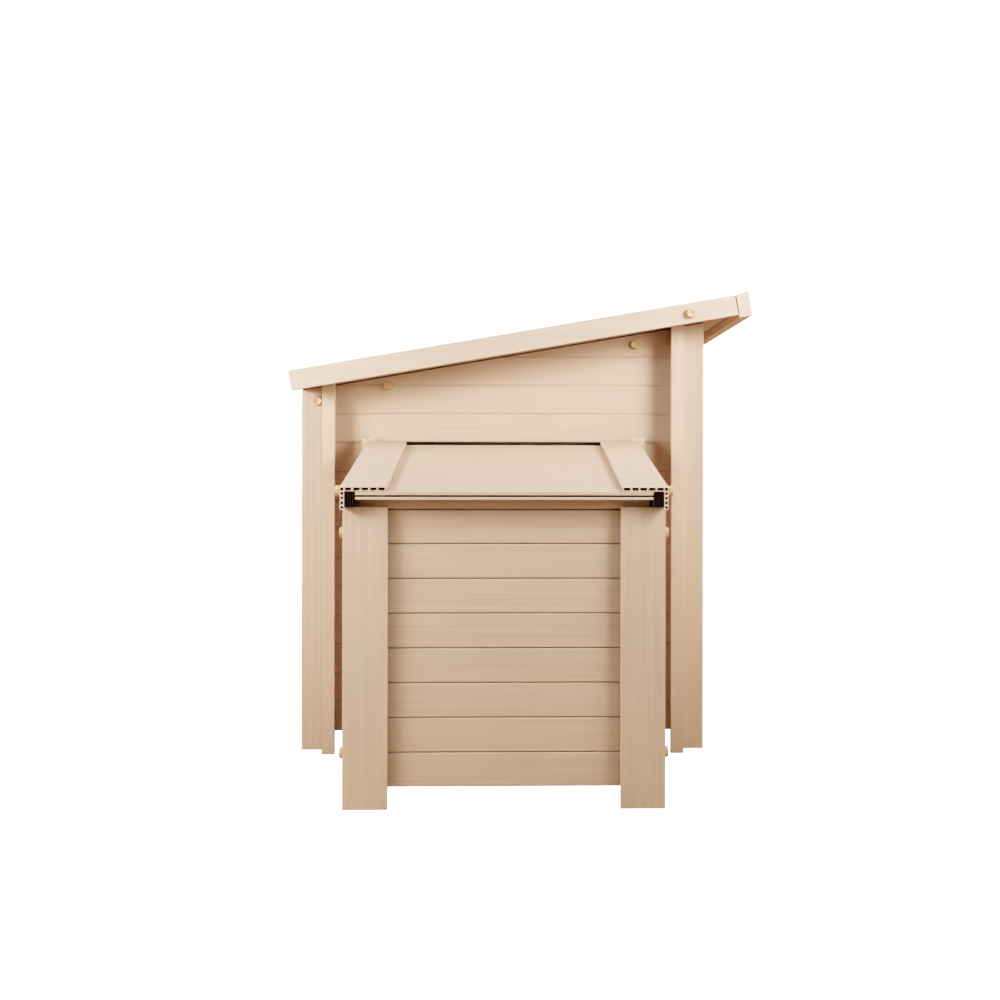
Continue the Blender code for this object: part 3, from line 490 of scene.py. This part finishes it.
def window_mesh():
    """Welded wire mesh in a folded steel frame, in the place of the plain CAD grille."""
    lo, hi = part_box("window_grille")
    wire, border = 0.0011, 0.016
    centre_x = (lo.x + hi.x) / 2
    bm = bmesh.new()
    rows, columns = 12, 24
    for index in range(rows + 1):
        z = lo.z + border * 0.6 + (hi.z - lo.z - border * 1.2) * index / rows
        tube(bm, (centre_x + wire * 0.9, lo.y + 0.004, z), (centre_x + wire * 0.9, hi.y - 0.004, z), wire)
    for index in range(columns + 1):
        y = lo.y + border * 0.6 + (hi.y - lo.y - border * 1.2) * index / columns
        tube(bm, (centre_x - wire * 0.9, y, lo.z + 0.004), (centre_x - wire * 0.9, y, hi.z - 0.004), wire)
    wires = add_piece("window_wires", bm, ZINC, "house")
    bm = bmesh.new()
    outer = [(lo.y, lo.z), (hi.y, lo.z), (hi.y, hi.z), (lo.y, hi.z)]
    inner = [(lo.y + border, lo.z + border), (hi.y - border, lo.z + border),
             (hi.y - border, hi.z - border), (lo.y + border, hi.z - border)]
    rings = []
    for x, loop in ((lo.x, outer), (hi.x, outer), (hi.x, inner), (lo.x, inner)):
        rings.append([bm.verts.new((x, y, z)) for y, z in loop])
    for index, ring in enumerate(rings):
        following = rings[(index + 1) % len(rings)]
        for corner in range(4):
            after = (corner + 1) % 4
            bm.faces.new((ring[corner], ring[after], following[after], following[corner]))
    bmesh.ops.bevel(bm, geom=bm.edges[:], offset=0.0008, segments=2, affect="EDGES")
    surround = add_piece("window_frame", bm, ZINC, "house")
    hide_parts("window_grille")
    return wires


# near-black fills in the lid rails' channel fronts, painted as shade
SHADE_FILL_CLEARANCE = 0.0006
SHADE_FILL_RIBS = 4


def rail_shade_fills():
    """Ribbed near-black fill in the open front of each lid rail's channel, beside the lid sheet: painted
    shade for a hollow that is dark only in shadow.
    """
    leg_front, leg_top = low("nest_leg_low").y, high("nest_leg_low").z
    for side in ("low", "high"):
        rail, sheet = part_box(f"lid_rail_{side}"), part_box("lid_panel")
        wall = 0.0095 + SHADE_FILL_CLEARANCE
        if side == "low":
            left, right = rail[0].x + wall, sheet[0].x - SHADE_FILL_CLEARANCE
        else:
            left, right = sheet[1].x + SHADE_FILL_CLEARANCE, rail[1].x - wall
        front, back = rail[0].y + 0.0020, leg_front - SHADE_FILL_CLEARANCE
        bottom, top = leg_top + 0.0012, rail[0].z + 0.0368
        pitch = (right - left) / SHADE_FILL_RIBS
        outline = [(right, back), (left, back)]
        for index in range(SHADE_FILL_RIBS):
            start = left + index * pitch
            outline += [(start, front), (start + pitch * 0.42, front),
                        (start + pitch * 0.50, front + 0.004), (start + pitch * 0.92, front + 0.004)]
        outline.append((right, front))
        bm = bmesh.new()
        lower, upper = ([bm.verts.new((x, y, z)) for x, y in outline] for z in (bottom, top))
        bm.faces.new(lower)
        bm.faces.new(upper)
        for index in range(len(outline)):
            after = (index + 1) % len(outline)
            bm.faces.new((lower[index], lower[after], upper[after], upper[index]))
        # a near-black piece that stands as painted shade
        add_piece(f"rail_shade_fill_{side}", bm, SHADE_FILL, "nest_lid", 30)


LID_TILT = 0.2815              # rise of the lid per metre of Y
SLIT_LOW, SLIT_TOP = 0.0062, 0.0088      # heights of the slit over the lid sheet's lower front edge


def slit_shade_fill():
    """A near-black strip inside the slit along the lid sheet's front edge: painted shade for the slit's
    dark inside.
    """
    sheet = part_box("lid_panel")
    front, back = sheet[0].y + 0.0019, sheet[0].y + 0.0070
    left, right = sheet[0].x + 0.004, sheet[1].x - 0.004
    corners = []
    for y, drop in ((front, 0.0024), (back, 0.0024), (back, 0.0), (front, 0.0)):
        base = SLIT_LOW - drop if drop else SLIT_TOP
        corners.append((y, sheet[0].z + base + LID_TILT * (y - sheet[0].y)))
    bm = bmesh.new()
    ends = [[bm.verts.new((x, y, z)) for y, z in corners] for x in (left, right)]
    for ring in ends:
        bm.faces.new(ring)
    for index in range(4):
        after = (index + 1) % 4
        bm.faces.new((ends[0][index], ends[0][after], ends[1][after], ends[1][index]))
    bmesh.ops.bevel(bm, geom=bm.edges[:], offset=0.0005, segments=2, affect="EDGES")
    # a near-black piece that stands as the slit's painted shade
    add_piece("lid_slit_shade_fill", bm, SHADE_FILL, "nest_lid", 60)


# ---- studio -------------------------------------------------------------------------------------
def middle_x():
    """X of the nest box's middle, which the camera faces."""
    return (low("nest_leg_low").x + high("nest_leg_high").x) / 2


def area_light(name, place, aim, size, power, colour=(1.0, 1.0, 1.0)):
    """A soft box at `place` that faces `aim`."""
    data = bpy.data.lights.new(name, "AREA")
    data.shape = "RECTANGLE"
    data.size, data.size_y = size
    data.energy = power
    data.color = colour
    lamp = bpy.data.objects.new(name, data)
    lamp.location = place
    lamp.rotation_euler = (Vector(aim) - Vector(place)).to_track_quat("-Z", "Y").to_euler()
    lamp.visible_camera = False
    bpy.context.scene.collection.objects.link(lamp)
    return lamp


def plane(name, size, z, made):
    """A square on the ground."""
    bm = bmesh.new()
    half = size / 2
    corners = ((-half, -half, z), (half, -half, z), (half, half, z), (-half, half, z))
    bm.faces.new([bm.verts.new(corner) for corner in corners])
    mesh = bpy.data.meshes.new(name)
    bm.to_mesh(mesh)
    bm.free()
    mesh.materials.append(made)
    made_plane = bpy.data.objects.new(name, mesh)
    bpy.context.scene.collection.objects.link(made_plane)
    return made_plane


def side_light(name, side, turn, distance, height, size, power, aim=0.75, colour=(1.0, 1.0, 1.0)):
    """A soft box that lights the end wall from one side, `turn` degrees off straight on."""
    x, wall = middle_x(), low("end_wall_near").y
    edge = x + side * 0.40
    angle = math.radians(turn)
    place = (edge + side * distance * math.sin(angle), wall - distance * math.cos(angle), height)
    return area_light(name, place, (x + side * 0.12, wall - 0.1, aim), size, power, colour)


FRONT = low("nest_leg_low").y     # Y of the nest legs' front faces
WHITE = 4.0                       # the brightness that the tone curve shows as pure white
COOL, WARM, AMBER = (0.985, 1.01, 1.075), (1.0, 0.90, 0.79), (1.0, 0.55, 0.14)


def studio():
    """White surroundings, soft boxes left, right and above, and weaker ones behind."""
    world = bpy.data.worlds.new("white_room")
    bpy.context.scene.world = world
    world.use_nodes = True
    world.node_tree.nodes["Background"].inputs["Color"].default_value = (1.0, 1.0, 1.0, 1.0)
    world.node_tree.nodes["Background"].inputs["Strength"].default_value = WHITE * 1.2
    visible = world.cycles_visibility
    visible.diffuse = False
    visible.glossy = False
    visible.transmission = False

    pale, _, shader, _ = new_material("white_floor")
    shader.inputs["Base Color"].default_value = (0.0, 0.0, 0.0, 1.0)
    shader.inputs["Specular IOR Level"].default_value = 0.0
    shader.inputs["Emission Color"].default_value = (1.0, 1.0, 1.0, 1.0)
    shader.inputs["Emission Strength"].default_value = WHITE * 1.2
    seen = plane("floor_seen", 60.0, 0.0, pale)
    seen.visible_diffuse = seen.visible_glossy = seen.visible_transmission = seen.visible_shadow = False

    dull, _, shader, _ = new_material("floor_bounce")
    shader.inputs["Base Color"].default_value = (0.58, 0.45, 0.33, 1.0)
    shader.inputs["Roughness"].default_value = 0.9
    bounce = plane("floor_bounce", 60.0, -0.002, dull)
    bounce.visible_camera = False

    x = middle_x()
    side_light("soft_left", -1, 50, 1.5, 1.20, (0.75, 0.5), 48.0, colour=COOL)
    side_light("soft_right", 1, 47, 1.5, 1.55, (0.75, 0.5), 36.5, colour=COOL)
    side_light("grazing_right", 1, 75, 1.6, 0.85, (0.9, 0.9), 14.0, colour=WARM)
    narrow = side_light("spot_right", 1, 47, 2.2, 1.30, (1.1, 0.7), 6.7, 1.10)
    narrow.data.spread = math.radians(60)
    area_light("low_left", (x - 1.5, FRONT - 1.6, 0.7), (x, FRONT, 0.4), (0.9, 0.9), 10.5, WARM)
    area_light("soft_top", (x, FRONT + 0.1, 2.8), (x, FRONT + 0.2, 0.6), (2.2, 0.8), 30.0)
    area_light("soft_top_front", (x, FRONT - 0.6, 2.6), (x, FRONT + 0.1, 0.6), (2.0, 0.8), 3.4)
    area_light("front_fill", (x, FRONT - 2.4, 1.1), (x, FRONT + 0.4, 0.9), (1.2, 1.0), 2.0, AMBER)
    for label, side in (("left", -1), ("right", 1)):
        area_light(f"behind_{label}", (x + side * 2.4, FRONT + 3.2, 1.7), (x, FRONT + 0.9, 0.6),
                   (1.6, 1.2), 60.0)


def camera():
    """Level camera in front of the nest box, turned one degree to the right."""
    data = bpy.data.cameras.new("camera")
    data.sensor_width = 36.0
    data.lens = 30.17
    data.shift_x = -0.01189
    data.shift_y = -0.02868
    made = bpy.data.objects.new("camera", data)
    made.location = (middle_x() - 0.0141, FRONT - 1.7254, 0.6965)
    made.rotation_euler = (math.radians(90), math.radians(-0.087), math.radians(-0.964))
    bpy.context.scene.collection.objects.link(made)
    bpy.context.scene.camera = made


CONTRAST, TOE = 1.35, 0.30


def tone_curve():
    """A film-like curve: a toe that deepens the shadows and a shoulder that keeps bright faces pale."""
    settings = bpy.context.scene.view_settings
    settings.view_transform = "Standard"
    settings.use_curve_mapping = True
    mapping = settings.curve_mapping
    mapping.white_level = (WHITE, WHITE, WHITE)
    mapping.extend = "HORIZONTAL"
    curve = mapping.curves[3]
    steps = 24
    for step in range(1, steps):
        x = WHITE * (step / steps) ** 2
        curve.points.new(x / WHITE, 1 - math.exp(-CONTRAST * x * x / (x + TOE)))
    mapping.update()


tone_curve()
dress_cad()
bolts()
hinge_screws()
door_knob()
window_mesh()
rail_shade_fills()
slit_shade_fill()
studio()
camera()
